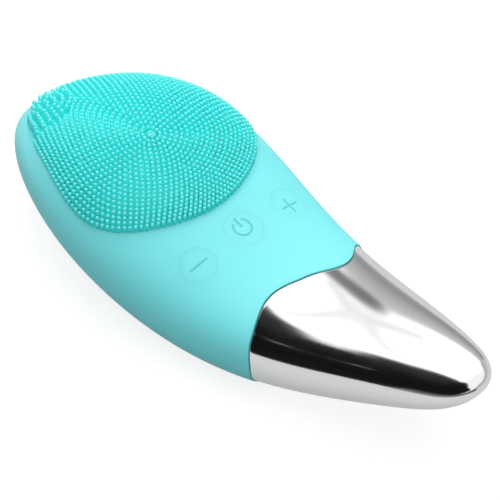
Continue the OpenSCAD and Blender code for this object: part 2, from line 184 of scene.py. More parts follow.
class Skin:
    """The outside surface, by sweep t, ring angle a (a quarter turn is on top) and depth d under it."""

    def __init__(self, body):
        self.half = body.length / 2
        self.power = body.squareness
        self.shift = (body.length - body.cover_step) / 2
        self.wide = curve_terms([s * body.width / 2 for s in WIDTH_SHARES])
        self.deep = curve_terms([s * body.depth / 2 for s in DEPTH_SHARES])
        self.lift = curve_terms([s * body.tail_lift for s in LIFT_SHARES])
        self.pad_wide = curve_terms([s * body.width / 2 for s in PAD_SHARES])
        back = np.radians(np.arange(60, 121))
        self.lay = -np.min(along(self.lift, back) - along(self.deep, back) * np.sin(back)) - body.flat_depth

    def bend(self, c):
        return np.sign(c) * np.abs(c) ** (2 / self.power)

    def mid(self, t):
        return self.lay + along(self.lift, t)

    def point(self, t, a, d=0.0):
        x = d + (self.half - d) * (1 - np.cos(t)) - self.shift
        y = (along(self.wide, t) - d) * np.sin(t) * self.bend(np.cos(a))
        z = self.mid(t) + (along(self.deep, t) - d) * np.sin(t) * self.bend(np.sin(a))
        z = (z + d + np.sqrt((z - d) ** 2 + FLOOR_ROUND ** 2)) / 2
        x, y, z = np.broadcast_arrays(x, y, z)
        return np.stack([x, y, z], -1)

    def normal(self, t, a, d=0.0):
        """Outward normals, from small differences."""
        e = 1e-4
        t = np.clip(t, 1e-3, math.pi - 1e-3)
        round_ring = self.point(t, a + e, d) - self.point(t, a - e, d)
        down_body = self.point(t + e, a, d) - self.point(t - e, a, d)
        return unit(np.cross(round_ring, down_body))

    def sweep_at(self, x, d=0.0):
        return np.arccos(np.clip(1 - (x + self.shift - d) / (self.half - d), -1, 1))

    def top(self, x, y):
        """Height over a point."""
        t = self.sweep_at(x)
        share = np.abs(y) / np.maximum(along(self.wide, t) * np.sin(t), 1e-9)
        return self.mid(t) + along(self.deep, t) * np.sin(t) * (
            np.maximum(0, 1 - share ** self.power) ** (1 / self.power))

    def top_normal(self, x, y, e=0.2 * MM):
        """Normals over a point, from differences of height."""
        slope = [self.top(x - e, y) - self.top(x + e, y), self.top(x, y - e) - self.top(x, y + e)]
        return unit(np.stack([*slope, np.full(np.shape(slope[0]), 2 * e)], -1))

    def nearest(self, p, d=0.0):
        """Sweep and ring angle of points that lie on the surface, and how far off it they are."""
        t = self.sweep_at(p[:, 0], d)
        span = np.maximum(np.sin(t), 1e-6)
        c = np.clip(p[:, 1] / ((along(self.wide, t) - d) * span), -1, 1)
        s = np.clip((p[:, 2] - self.mid(t)) / ((along(self.deep, t) - d) * span), -1, 1)
        cosine = np.sign(c) * np.abs(c) ** (self.power / 2)
        sine = np.sign(s) * np.abs(s) ** (self.power / 2)
        low = p[:, 2] < d + 1 * MM
        sine = np.where(low, -np.sqrt(np.maximum(0, 1 - cosine ** 2)), sine)
        a = np.arctan2(sine, cosine)
        return t, a, np.linalg.norm(self.point(t, a, d) - p, axis=1)


def pad_outline(skin, n=720):
    """The outline of the bristle field, seen from above, once round from the head end by way of +Y."""
    b = np.linspace(0, 2 * math.pi, n, endpoint=False)
    half_turn = np.where(b <= math.pi, b, 2 * math.pi - b)
    return np.stack([PAD_MID - PAD_REACH * np.cos(b), along(skin.pad_wide, half_turn) * np.sin(b)], -1)


def depth_inside(outline, spots):
    """How far spots are inside a closed outline; below zero outside it."""
    gap = np.concatenate([np.linalg.norm(part[:, None] - outline[None], axis=2).min(axis=1)
                          for part in np.array_split(spots, 1 + len(spots) // 2000)])
    a, b = outline, np.roll(outline, -1, axis=0)
    rise = np.where(np.abs(b[:, 1] - a[:, 1]) < 1e-12, 1e-12, b[:, 1] - a[:, 1])
    odd = []
    for part in np.array_split(spots, 1 + len(spots) // 2000):
        crosses = (a[None, :, 1] > part[:, None, 1]) != (b[None, :, 1] > part[:, None, 1])
        at = a[None, :, 0] + (part[:, None, 1] - a[None, :, 1]) / rise[None] * (b - a)[None, :, 0]
        odd.append((crosses & (part[:, None, 0] < at)).sum(axis=1) % 2 == 1)
    return np.where(np.concatenate(odd), gap, -gap)


def crown(sizes, depth):
    """Rise of the skin under the bristles, from nothing at the outline."""
    s = np.clip(depth / CROWN_RUN, 0, 1)
    return sizes.crown * s * (2 - s)


# ---- meshes ----
def new_piece(name, points, faces, material, body, smooth=True):
    """A mesh object from points and faces, riding on its body."""
    mesh = bpy.data.meshes.new(name)
    mesh.from_pydata(np.asarray(points, float).tolist(), [], [list(map(int, f)) for f in faces])
    mesh.validate()
    mesh.update()
    if smooth:
        mesh.polygons.foreach_set("use_smooth", [True] * len(mesh.polygons))
    piece = bpy.data.objects.new(name, mesh)
    bpy.context.scene.collection.objects.link(piece)
    mesh.materials.append(material)
    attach(piece, body)
    return piece


def point_values(mesh, name, values):
    """A number at each point, for materials to read."""
    held = mesh.attributes.get(name) or mesh.attributes.new(name, "FLOAT", "POINT")
    held.data.foreach_set("value", np.asarray(values, np.float32))


def mesh_points(mesh):
    co = np.empty(len(mesh.vertices) * 3)
    mesh.vertices.foreach_get("co", co)
    return co.reshape(-1, 3)


def lathe_faces(rings, columns):
    """Faces of rings joined in turn, closed by a point at each end; outward for rings from +X to -X."""
    def at(i, j):
        return 1 + i * columns + j % columns

    last = 1 + rings * columns
    faces = []
    for j in range(columns):
        faces.append((0, at(0, j + 1), at(0, j)))
        faces.append((last, at(rings - 1, j), at(rings - 1, j + 1)))
    for i in range(rings - 1):
        for j in range(columns):
            faces.append((at(i, j), at(i, j + 1), at(i + 1, j + 1), at(i + 1, j)))
    return faces


def shell_mesh(skin, edge, tip, wall, round_r, d_out, rows, inner_rows, columns):
    """Points and faces of a skin between its edge and a tip, with a rounded lip and a wall that thick."""
    a = np.linspace(0, 2 * math.pi, columns, endpoint=False)
    end = edge(a)
    way = 1 if tip == 0 else -1
    sweep_of = round_r / (skin.half * np.sin(end))
    steps = []
    for i in range(1, rows):
        steps.append((tip + (end - way * sweep_of - tip) * i / rows, d_out))
    for q in np.linspace(0, math.pi / 2, 7):
        steps.append((end - way * sweep_of * (1 - np.sin(q)), d_out + round_r * (1 - math.cos(q))))
    steps.append((end, d_out + wall * 0.7))
    for i in range(inner_rows, 0, -1):
        steps.append((tip + (end - tip) * i / inner_rows, d_out + wall))
    rings = [skin.point(t, a, d) for t, d in steps]
    poles = [skin.point(np.array(float(tip)), np.array(0.0), d) for d in (d_out, d_out + wall)]
    points = np.concatenate([poles[0][None], *rings, poles[1][None]])
    faces = lathe_faces(len(rings), columns)
    if way > 0:
        faces = [f[::-1] for f in faces]
    return points, faces


def cut(piece, cutters):
    """Cuts closed meshes out of a piece, and keeps the result."""
    for cutter in cutters:
        step = piece.modifiers.new("cut", "BOOLEAN")
        step.operation = "DIFFERENCE"
        step.solver = "MANIFOLD"
        step.object = cutter
    bpy.context.view_layer.update()
    done = bpy.data.meshes.new_from_object(piece.evaluated_get(bpy.context.evaluated_depsgraph_get()))
    piece.modifiers.clear()
    piece.data = done
    for cutter in cutters:
        bpy.data.objects.remove(cutter)


def prism(name, outline, base, top, place):
    """A closed upright prism over an outline, to cut with."""
    n = len(outline)
    points = [place @ Vector((x, y, z)) for z in (base, top) for x, y in outline]
    faces = [list(range(n))[::-1], list(range(n, 2 * n))]
    faces += [(j, (j + 1) % n, n + (j + 1) % n, n + j) for j in range(n)]
    mesh = bpy.data.meshes.new(name)
    mesh.from_pydata(points, [], faces)
    cutter = bpy.data.objects.new(name, mesh)
    bpy.context.scene.collection.objects.link(cutter)
    return cutter


def round_outline(r, n):
    return [(r * math.cos(2 * math.pi * j / n), r * math.sin(2 * math.pi * j / n)) for j in range(n)]


def oblong_outline(length, width, n=24):
    """An outline with round ends, long across the body."""
    r = width / 2
    side = (length - width) / 2
    ends = [(-1, math.pi), (1, 0)]
    return [(r * math.cos(turn + math.pi * j / n), s * side + r * math.sin(turn + math.pi * j / n))
            for s, turn in ends for j in range(n + 1)]


def surface_normals(piece, skin, d):
    """Sets the outer surface's own normals at its corners, and leaves edges and walls as they are."""
    mesh = piece.data
    mesh.polygons.foreach_set("use_smooth", [True] * len(mesh.polygons))
    mesh.set_sharp_from_angle(angle=35 * DEGREE)
    corners = np.empty(len(mesh.loops) * 3)
    mesh.corner_normals.foreach_get("vector", corners)
    corners = corners.reshape(-1, 3)
    points = mesh_points(mesh)
    t, a, off = skin.nearest(points, d)
    exact = skin.normal(t, a, d)
    of_loop = np.empty(len(mesh.loops), int)
    mesh.loops.foreach_get("vertex_index", of_loop)
    on_skin = off[of_loop] < ON_SKIN
    clear_of_tips = np.sin(t[of_loop]) > 0.02
    agree = np.sum(corners * exact[of_loop], axis=1) > 0.93
    use = on_skin & clear_of_tips & agree
    corners[use] = exact[of_loop][use]
    mesh.normals_split_custom_set(corners.tolist())


# ---- shader maths and nodes ----
class Value:
    """A number that varies over a surface: Python's operators add its maths nodes."""

    def __init__(self, graph, socket):
        self.graph = graph
        self.socket = socket

    def maths(self, operation, first, second=0.0, clamp=False):
        node = self.graph.node("ShaderNodeMath", {"operation": operation, "use_clamp": clamp},
                               {0: first, 1: second})
        return Value(self.graph, node.outputs[0])

    def __add__(self, other):
        return self.maths("ADD", self, other)

    __radd__ = __add__

    def __sub__(self, other):
        return self.maths("SUBTRACT", self, other)

    def __rsub__(self, other):
        return self.maths("SUBTRACT", other, self)

    def __mul__(self, other):
        return self.maths("MULTIPLY", self, other)

    __rmul__ = __mul__

    def __pow__(self, other):
        return self.maths("POWER", self, other)

    def limit(self):
        return self.maths("ADD", self, 0.0, clamp=True)


class Graph:
    """The node tree of one material or of the world."""

    def __init__(self, owner):
        owner.use_nodes = True
        self.tree = owner.node_tree
        self.tree.nodes.clear()

    def node(self, kind, settings=None, inputs=None):
        """One node: its type, its settings, then the values or links of its sockets."""
        made = self.tree.nodes.new(kind)
        for name, value in (settings or {}).items():
            setattr(made, name, value)
        for name, value in (inputs or {}).items():
            socket = made.inputs[name]
            if isinstance(value, Value):
                self.tree.links.new(value.socket, socket)
            elif isinstance(value, bpy.types.NodeSocket):
                self.tree.links.new(value, socket)
            else:
                socket.default_value = value
        return made

    def value(self, node, output=0):
        return Value(self, node.outputs[output])

    def attribute(self, name):
        return self.value(self.node("ShaderNodeAttribute", {"attribute_name": name}), "Fac")

    def place(self, stretch=(1, 1, 1)):
        """The object's own coordinates, stretched."""
        own = self.node("ShaderNodeTexCoord").outputs["Object"]
        mapping = self.node("ShaderNodeMapping", {"vector_type": "POINT"}, {"Vector": own, "Scale": stretch})
        return mapping.outputs[0]

    def noise(self, scale, detail=2.0, stretch=(1, 1, 1), roughness=0.5):
        return self.value(self.node("ShaderNodeTexNoise", {}, {
            "Vector": self.place(stretch), "Scale": scale, "Detail": detail, "Roughness": roughness}))

    def mix(self, share, first, second):
        """A colour between two colours."""
        made = self.node("ShaderNodeMix", {"data_type": "RGBA"})
        for index, value in ((0, share), (6, first), (7, second)):
            if isinstance(value, Value):
                value = value.socket
            if isinstance(value, bpy.types.NodeSocket):
                self.tree.links.new(value, made.inputs[index])
            else:
                made.inputs[index].default_value = (*value, 1.0) if index else value
        return made.outputs[2]

    def bump(self, height, distance, strength=1.0):
        return self.node("ShaderNodeBump", {}, {
            "Height": height, "Distance": distance, "Strength": strength}).outputs[0]

    def emission(self, colour, strength=1.0):
        return self.node("ShaderNodeEmission", {}, {"Color": colour, "Strength": strength})

    def surface(self, **sockets):
        """The material's shader, with its sockets by name."""
        names = {name.replace("_", " ").title().replace("Ior", "IOR"): v for name, v in sockets.items()}
        return self.node("ShaderNodeBsdfPrincipled", {}, names)

    def finish(self, shader, kind="ShaderNodeOutputMaterial"):
        self.node(kind, {}, {"Surface": shader.outputs[0]})


def colour_of(values):
    return tuple(values)[:3]


def material(name):
    """The material of that name, with its node tree cleared to be built."""
    made = bpy.data.materials.get(name) or bpy.data.materials.new(name)
    return made, Graph(made)


def silicone(name, painted_shade_mask=None, rise=None, marks=None, seeps=0.22, shine=0.38):
    """Satin moulded silicone: soft colour drift, a fine matt grain and light that seeps into it; it can
    carry painted shade between the bristles, or painted shade at the bristles' feet and painted light at
    their tips.
    """
    made, g = material(name)
    finish = bpy.context.scene.brush_finish
    drift = g.noise(38.0, 2.0)
    skin = colour_of(finish.skin)
    colour = g.mix(drift * 0.5, skin, tuple(c * 0.955 for c in skin))
    if painted_shade_mask:
        # Painted shade: the skin turns to the darker colour where the mask marks the bristle field.
        colour = g.mix(g.attribute(painted_shade_mask), colour, colour_of(finish.skin_painted_shade))
    if rise:
        # Painted shade at each bristle's foot, turning to painted light at its tip.
        up = (g.attribute(rise) ** 3.0).limit()
        colour = g.mix(up, colour_of(finish.skin_painted_shade), colour_of(finish.tip_painted_light))
    if marks:
        stroke = tuple(c * k for c, k in zip(skin, (0.45, 0.66, 0.66)))
        colour = g.mix(g.attribute(marks) * 0.7, colour, stroke)
    grain = g.noise(5200.0, 3.0)
    dust = g.noise(260.0, 4.0)
    shader = g.surface(
        base_color=colour, roughness=0.44 + 0.10 * dust, subsurface_weight=seeps,
        subsurface_radius=(0.8, 1.0, 1.0), subsurface_scale=1.6 * MM, specular_ior_level=shine,
        sheen_weight=0.05, sheen_roughness=0.4, normal=g.bump(grain, 0.012 * MM, 0.5))
    g.finish(shader)
    return made


def moulded(name, base, other, roughness, grain=1400.0, depth=0.02, **more):
    """Moulded plastic or rubber: two close tones, a matt grain and uneven gloss."""
    made, g = material(name)
    patches = g.noise(60.0, 3.0)
    fine = g.noise(grain, 3.0)
    shader = g.surface(
        base_color=g.mix(patches, base, other), roughness=roughness + 0.12 * (fine - 0.5),
        normal=g.bump(fine, depth * MM, 0.6), **more)
    g.finish(shader)
    return made


def worked_metal(name, base, other, roughness, stretch=(0.08, 1, 1), **more):
    """Drawn or turned metal: fine lines along one way and slightly uneven tone."""
    made, g = material(name)
    lines = g.noise(2600.0, 3.0, stretch=stretch)
    tone = g.noise(120.0, 2.0)
    shader = g.surface(
        base_color=g.mix(tone, base, other), metallic=1.0, roughness=roughness + 0.18 * (lines - 0.5),
        normal=g.bump(lines, 0.004 * MM, 0.5), **more)
    g.finish(shader)
    return made


def board_finish():
    """Solder mask with copper tracks showing faintly through it."""
    made, g = material("solder_mask")
    cells = g.node("ShaderNodeTexVoronoi", {"feature": "DISTANCE_TO_EDGE"}, {
        "Vector": g.place((1, 0.45, 1)), "Scale": 420.0})
    tracks = (1.0 - g.value(cells, "Distance") * 9.0).limit()
    weave = g.noise(3000.0, 2.0)
    shader = g.surface(
        base_color=g.mix(tracks, (0.012, 0.10, 0.05), (0.03, 0.24, 0.11)), roughness=0.30 + 0.15 * weave,
        coat_weight=0.4, normal=g.bump(tracks, 0.03 * MM, 0.6))
    g.finish(shader)
    return made


def film_finish():
    """Amber film with the etched heating track in it."""
    made, g = material("heater_film")
    bands = g.node("ShaderNodeTexWave", {"wave_type": "BANDS", "bands_direction": "X"}, {
        "Vector": g.place(), "Scale": 300.0, "Distortion": 0.6})
    track = (g.value(bands, "Fac") * 3.0 - 1.0).limit()
    shader = g.surface(
        base_color=g.mix(track, (0.42, 0.16, 0.02), (0.62, 0.30, 0.10)), roughness=0.32 - 0.08 * track,
        normal=g.bump(track, 0.03 * MM, 0.5), coat_weight=0.3)
    g.finish(shader)
    return made


def inner_finishes():
    """Which finish each of the frame's own nodes wears."""
    # These three are plain materials that the frame brings along.
    own = bpy.data.materials
    foil, dark, rubber = own["battery_foil"], own["dark_plastic"], own["dark_rubber"]
    steel = worked_metal("drawn_steel", (0.60, 0.60, 0.62), (0.50, 0.50, 0.52), 0.30)
    nickel = worked_metal("nickel_plate", (0.66, 0.63, 0.57), (0.56, 0.53, 0.48), 0.22)
    gold = worked_metal(
        "gold_plate", (0.84, 0.62, 0.27), (0.74, 0.52, 0.22), 0.20, stretch=(1, 1, 0.1))
    bronze = worked_metal(
        "sintered_bronze", (0.60, 0.40, 0.18), (0.48, 0.31, 0.14), 0.42, stretch=(1, 1, 1))
    tungsten = worked_metal(
        "tungsten", (0.34, 0.34, 0.36), (0.26, 0.26, 0.28), 0.38, stretch=(1, 1, 1))
    copper = worked_metal(
        "enamelled_copper", (0.62, 0.24, 0.10), (0.50, 0.17, 0.07), 0.30, stretch=(1, 0.06, 0.06),
        coat_weight=0.6)
    white = moulded("shell_plastic", (0.74, 0.76, 0.77), (0.69, 0.71, 0.72), 0.46)
    key_pin = moulded("key_pin_plastic", (0.60, 0.63, 0.65), (0.55, 0.58, 0.60), 0.40)
    foam = moulded("foam_pad", (0.05, 0.05, 0.055), (0.09, 0.09, 0.095), 0.85, grain=700.0, depth=0.12)
    clear = moulded(
        "light_pipe", (0.86, 0.92, 0.90), (0.80, 0.88, 0.86), 0.12, transmission_weight=0.75)
    red = moulded("red_wire", (0.42, 0.03, 0.025), (0.34, 0.02, 0.02), 0.38)
    black = moulded("black_wire", (0.018, 0.018, 0.02), (0.03, 0.03, 0.032), 0.40)
    pale = moulded("white_wire", (0.70, 0.70, 0.68), (0.62, 0.62, 0.60), 0.40)
    return {
        "shell_top": white, "shell_bottom": white, "shell_screws": steel,
        "power_plunger": key_pin, "plus_plunger": key_pin, "minus_plunger": key_pin,
        "power_switch": nickel, "plus_switch": nickel, "minus_switch": nickel,
        "circuit_board": board_finish(), "control_chip": dark, "indicator_lamp": clear, "battery": foil,
        "battery_pad": foam, "motor_can": steel, "motor_magnets": dark, "motor_end_cap": dark,
        "motor_bushing": bronze, "motor_boot": rubber, "motor_shaft": steel, "motor_armature": copper,
        "eccentric_weight": tungsten, "contact_block": dark, "charge_pins": gold, "charge_magnets": nickel,
        "heater_film": film_finish(), "heat_sensor": dark, "motor_leads": red, "battery_leads": black,
        "heater_leads": pale, "charge_leads": red,
    }


# ---- keys ----
# Where the keys are, how deep each piece goes, and how wide and deep a sign's stroke is.
KEYS_X = 70.7 * MM + HEAD_TIP
KEYS_APART = 14.2 * MM
KEY_GAP = 0.01 * MM
KEY_EDGE = 0.01 * MM
KEY_DEEP = 1.4 * MM
KEY_RINGS = 0.07 * MM
STROKE = 0.25 * MM
STROKE_RAMP = 0.16 * MM
SIGN_DEEP = 0.13 * MM


class Key:
    """One key: where it is, which way it travels and the outline of its sign."""

    def __init__(self, skin, name, across, radius):
        self.name = name
        self.radius = radius
        x = KEYS_X
        self.normal = Vector(skin.top_normal(np.array(x), np.array(0.0)))
        self.centre = Vector((x, across, float(skin.top(np.array(x), np.array(across)))))
        self.along = Vector((self.normal.z, 0, -self.normal.x))
        facing = Matrix((self.along, (0, 1, 0), self.normal)).transposed()
        self.place = Matrix.Translation(self.centre) @ facing.to_4x4()


def keys(skin):
    return [Key(skin, "power_key", 0.0, 4.6 * MM), Key(skin, "plus_key", KEYS_APART, 4.2 * MM),
            Key(skin, "minus_key", -KEYS_APART, 4.2 * MM)]


def from_stroke(u, v, start, end):
    """Distance from a straight stroke."""
    su, sv = start
    du, dv = end[0] - su, end[1] - sv
    share = np.clip(((u - su) * du + (v - sv) * dv) / (du * du + dv * dv), 0, 1)
    return np.hypot(u - su - share * du, v - sv - share * dv)


def power_sign(u, v):
    """A ring, open towards the head, with a stick in the opening."""
    u = u + 0.5 * MM
    r = 2.15 * MM
    gap = 38 * DEGREE
    turn = np.abs(np.arctan2(v, -u))
    ring = np.abs(np.hypot(u, v) - r)
    end_u, end_v = -r * math.cos(gap), r * math.sin(gap)
    ends = np.minimum(np.hypot(u - end_u, v - end_v), np.hypot(u - end_u, v + end_v))
    ring = np.where(turn < gap, ends, ring)
    return np.minimum(ring, from_stroke(u, v, (-2.75 * MM, 0), (-0.4 * MM, 0)) - 0.06 * MM)


def minus_sign(u, v):
    return from_stroke(u, v, (0, -2.2 * MM), (0, 2.2 * MM))


def plus_sign(u, v):
    u, v = u - 0.9 * MM, v + 0.4 * MM
    return np.minimum(minus_sign(u, v), from_stroke(u, v, (-2.0 * MM, 0), (2.0 * MM, 0)))


SIGNS = {"power_key": power_sign, "plus_key": plus_sign, "minus_key": minus_sign}


def key_points(skin, key, u, v):
    """Points of the outside surface under a key's own flat coordinates."""
    start = np.array(key.centre)
    flat = start + np.multiply.outer(u, np.array(key.along)) + np.multiply.outer(v, np.array((0, 1, 0)))
    normal = np.array(key.normal)
    rise = np.zeros(np.shape(u))
    for _ in range(12):
        p = flat + rise[..., None] * normal
        rise = rise + (skin.top(p[..., 0], p[..., 1]) - p[..., 2]) * normal[2]
    return flat + rise[..., None] * normal


def key_mesh(skin, key):
    """Points, faces and the sign's mask of one key, with the sign pressed into its face."""
    columns = 192
    radii = np.concatenate([np.arange(KEY_RINGS, key.radius - KEY_EDGE, KEY_RINGS), [key.radius - KEY_EDGE]])
    angle = np.linspace(0, 2 * math.pi, columns, endpoint=False)
    r, q = np.meshgrid(radii, angle, indexing="ij")
    u = np.concatenate([[0.0], (r * np.cos(q)).ravel()])
    v = np.concatenate([[0.0], (r * np.sin(q)).ravel()])
    mask = 1 - smooth_step(STROKE, STROKE_RAMP, SIGNS[key.name](u, v))
    normal = np.array(key.normal)
    points = key_points(skin, key, u, v) - (mask * SIGN_DEEP)[:, None] * normal
    rim_u, rim_v = key.radius * np.cos(angle), key.radius * np.sin(angle)
    rim = key_points(skin, key, rim_u, rim_v)
    walls = [rim - KEY_EDGE * normal, rim - KEY_DEEP * normal]
    foot = key_points(skin, key, np.array([0.0]), np.array([0.0])) - KEY_DEEP * normal
    points = np.concatenate([points, *walls, foot])
    faces = lathe_faces(len(radii) + len(walls), columns)
    mask = np.concatenate([mask, np.zeros(len(points) - len(mask))])
    return points, [f[::-1] for f in faces], mask


# ---- bristles ----
# The long patch's centre and outer row, the middle of the rings, how much rounder the inner rings are
# than the outline, how much wider their steps are, and how far a bristle's foot sinks into the skin.
LONG_CENTRE = np.array([11.0 * MM + HEAD_TIP, -9.9 * MM])
LONG_REACH = 9.6 * MM
FIELD_HEART = np.array([-28.0 * MM, -0.8 * MM])
ROUNDING = 0.5
SPREAD = 0.25
FOOT_SINK = 0.15 * MM
# How far the fine bristles keep from the long patch's outer row, as a share of the long pitch.
LONG_CLEARANCE = 0.62
# Shares of straight up in the way the fine and the long bristles point; the rest is the skin's normal.
FINE_UPRIGHT = 0.65
LONG_UPRIGHT = 0.9


def fine_spots(outline, sizes):
    """Spots of the fine bristles: rings that shrink to the field's heart, outside the long patch."""
    # Each ring starts an eighth of the way round the outline.
    order = np.roll(np.arange(len(outline)), -len(outline) // 8)
    arms = outline[order] - FIELD_HEART
    reach = np.linalg.norm(arms, axis=1)
    steps = int(reach.mean() / (sizes.ring_pitch * (1 + SPREAD / 2)))
    widths = 1 + SPREAD * np.arange(steps) / steps
    shares = 1 - (np.cumsum(widths) - 0.5 * widths) / widths.sum()
    each = max(3, round(2 * math.pi * reach.mean() / (sizes.pitch * steps)))
    rings = []
    for ring, share in enumerate(shares):
        rounding = ROUNDING * (1 - share)
        line = FIELD_HEART + share * arms * (1 - rounding + rounding * reach.mean() / reach)[:, None]
        closed = np.concatenate([line, line[:1]])
        run = np.concatenate([[0], np.cumsum(np.linalg.norm(np.diff(closed, axis=0), axis=1))])
        count = each * (steps - ring)
        marks = np.arange(count) * run[-1] / count
        rings.append(np.stack([np.interp(marks, run, closed[:, k]) for k in (0, 1)], -1))
    spots = np.concatenate([*rings, FIELD_HEART[None]])
    away = np.linalg.norm(spots - LONG_CENTRE, axis=1)
    return spots[away > LONG_REACH + LONG_CLEARANCE * sizes.long_pitch]


def long_spots(outline, sizes):
    """Spots of the long bristles: rings round the patch's centre, inside the outline."""
    spots = []
    for ring in range(1 + int(LONG_REACH / sizes.long_pitch)):
        r = LONG_REACH - ring * sizes.long_pitch
        count = max(1, round(2 * math.pi * r / sizes.long_pitch))
        for k in range(count):
            turn = 2 * math.pi * (k + 0.5 * (ring % 2)) / count
            spots.append(LONG_CENTRE + r * np.array([math.cos(turn), math.sin(turn)]))
    spots = np.array(spots)
    return spots[depth_inside(outline, spots) > 0.1 * MM]


def bristle_mesh(skin, spots, raised, height, foot_r, tip_r, sides, upright, rng):
    """Points, faces and rise of many bristles, each a tapered pin with a round tip."""
    x, y = spots[:, 0], spots[:, 1]
    normal = skin.top_normal(x, y)
    lean = rng.normal(0, 0.018, (len(spots), 3))
    axis = unit(upright * np.array([0, 0, 1.0]) + (1 - upright) * normal + lean)
    side = unit(np.cross(axis, np.array([0, 1.0, 0])))
    other = np.cross(axis, side)
    tall = height * (1 + rng.normal(0, 0.012, len(spots)))
    foot = np.stack([x, y, skin.top(x, y)], -1) + (raised - FOOT_SINK)[:, None] * normal
    profile = [(0.0, foot_r * 1.25), (0.12, foot_r), (0.5, 0.5 * (foot_r + tip_r))]
    profile += [("tip", q) for q in (0, 25, 50, 72)]
    rings, rise = [], []
    turn = 2 * math.pi * np.arange(sides) / sides
    for share, r in profile:
        if share == "tip":
            q = math.radians(r)
            h, r = tall - tip_r * (1 - math.sin(q)), tip_r * math.cos(q)
        else:
            h = tall * share
        centre = foot + axis * h[:, None]
        ring = centre[:, None] + r * (np.cos(turn)[None, :, None] * side[:, None]
                                      + np.sin(turn)[None, :, None] * other[:, None])
        rings.append(ring)
        rise.append(np.repeat((h / tall)[:, None], sides, 1))
    top = foot + axis * tall[:, None]
    points = np.concatenate([np.concatenate(rings, axis=1), top[:, None]], axis=1)
    rise = np.concatenate([*rise, np.ones((len(spots), 1))], axis=1)
    each = points.shape[1]
    one = []
    for i in range(len(rings) - 1):
        for j in range(sides):
            k = (j + 1) % sides
            one.append((i * sides + j, i * sides + k, (i + 1) * sides + k, (i + 1) * sides + j))
    last = (len(rings) - 1) * sides
    caps = [(last + j, last + (j + 1) % sides, each - 1) for j in range(sides)]
    faces = []
    for b in range(len(spots)):
        faces += [tuple(b * each + k for k in f) for f in one + caps]
        faces.append(tuple(b * each + k for k in range(sides - 1, -1, -1)))
    return points.reshape(-1, 3), faces, rise.ravel()


# ---- operators ----
# Length across the body and width of the charging pocket in the back.
POCKET = (11.4 * MM, 6.4 * MM)


class BRUSH_OT_sleeve(Operator):
    """Builds the silicone sleeve with its key holes and charging pocket"""

    bl_idname = "brush.sleeve"
    bl_label = "Sleeve"

    def execute(self, context):
        body = context.scene.brush_body
        skin = Skin(body)
        edge = (SEAM_GAP - body.groove) / 2
        points, faces = shell_mesh(
            skin, lambda a: seam(a) + edge, tip=0.0, wall=body.sleeve_wall, round_r=0.3 * MM, d_out=0.0,
            rows=190, inner_rows=48, columns=320)
        # The skin takes painted shade where the bristles stand.
        made = silicone("silicone_skin", painted_shade_mask="painted_shade_between_bristles")
        sleeve = new_piece("sleeve_skin", points, faces, made, "casing")
        cutters = [prism("hole", round_outline(k.radius + KEY_GAP, 192), -6 * MM, 4 * MM, k.place)
                   for k in keys(skin)]
        low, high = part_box("contact_block")
        middle = Matrix.Translation(((low.x + high.x) / 2, 0, 0))
        cutters.append(prism("pocket", oblong_outline(*POCKET), -3 * MM, 4 * MM, middle))
        cut(sleeve, cutters)
        surface_normals(sleeve, skin, 0.0)
        self.raise_crown(sleeve.data, skin, context.scene.brush_bristles)
        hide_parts("silicone_sleeve")
        return {"FINISHED"}

    def raise_crown(self, mesh, skin, sizes):
        """Raises the skin under the bristles and marks where it takes painted shade."""
        points = mesh_points(mesh)
        t, a, off = skin.nearest(points)
        top = np.flatnonzero((points[:, 2] > skin.mid(t)) & (off < ON_SKIN))
        depth = depth_inside(pad_outline(skin)[::4], points[top, :2])
        x, y = points[top, 0], points[top, 1]
        points[top] += crown(sizes, depth)[:, None] * skin.top_normal(x, y)
        mesh.vertices.foreach_set("co", points.ravel())
        # Painted shade: the skin darkens from the field's outline inwards.
        mark = np.zeros(len(points))
        mark[top] = smooth_step(0.2 * MM, 0.8 * MM, depth)
        point_values(mesh, "painted_shade_between_bristles", mark)
        mesh.update()


class BRUSH_OT_keys(Operator):
    """Builds the three keys, each flush with the sleeve and with its sign pressed in"""

    bl_idname = "brush.keys"
    bl_label = "Keys"

    def execute(self, context):
        skin = Skin(context.scene.brush_body)
        made = silicone("silicone_keys", marks="sign")
        bodies = {"power_key": "power_button", "plus_key": "plus_button", "minus_key": "minus_button"}
        for key in keys(skin):
            points, faces, mask = key_mesh(skin, key)
            piece = new_piece(key.name + "_face", points, faces, made, bodies[key.name])
            point_values(piece.data, "sign", mask)
            surface_normals(piece, skin, 0.0)
            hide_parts(key.name)
        return {"FINISHED"}


class BRUSH_OT_bristles(Operator):
    """Builds the fine bristles in rings and the patch of long ones"""

    bl_idname = "brush.bristles"
    bl_label = "Bristles"

    def execute(self, context):
        skin = Skin(context.scene.brush_body)
        sizes = context.scene.brush_bristles
        outline = pad_outline(skin)
        rng = np.random.default_rng(11)
        # The bristles carry painted shade at their feet and painted light at their tips, by their rise.
        made = silicone("silicone_bristles", rise="rise", seeps=0.35, shine=0.25)
        spots = fine_spots(outline, sizes)
        fine = bristle_mesh(skin, spots, crown(sizes, depth_inside(outline, spots)), sizes.height,
                            sizes.radius, sizes.tip_radius, sizes.sides, FINE_UPRIGHT, rng)
        spots = long_spots(outline, sizes)
        long = bristle_mesh(skin, spots, crown(sizes, depth_inside(outline, spots)), sizes.long_height,
                            sizes.long_radius, sizes.long_tip_radius, sizes.sides, LONG_UPRIGHT, rng)
        for name, (points, faces, rise) in (("fine_bristles", fine), ("long_bristles", long)):
            piece = new_piece(name, points, faces, made, "casing")
            point_values(piece.data, "rise", rise)
        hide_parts("bristle_field")
        return {"FINISHED"}


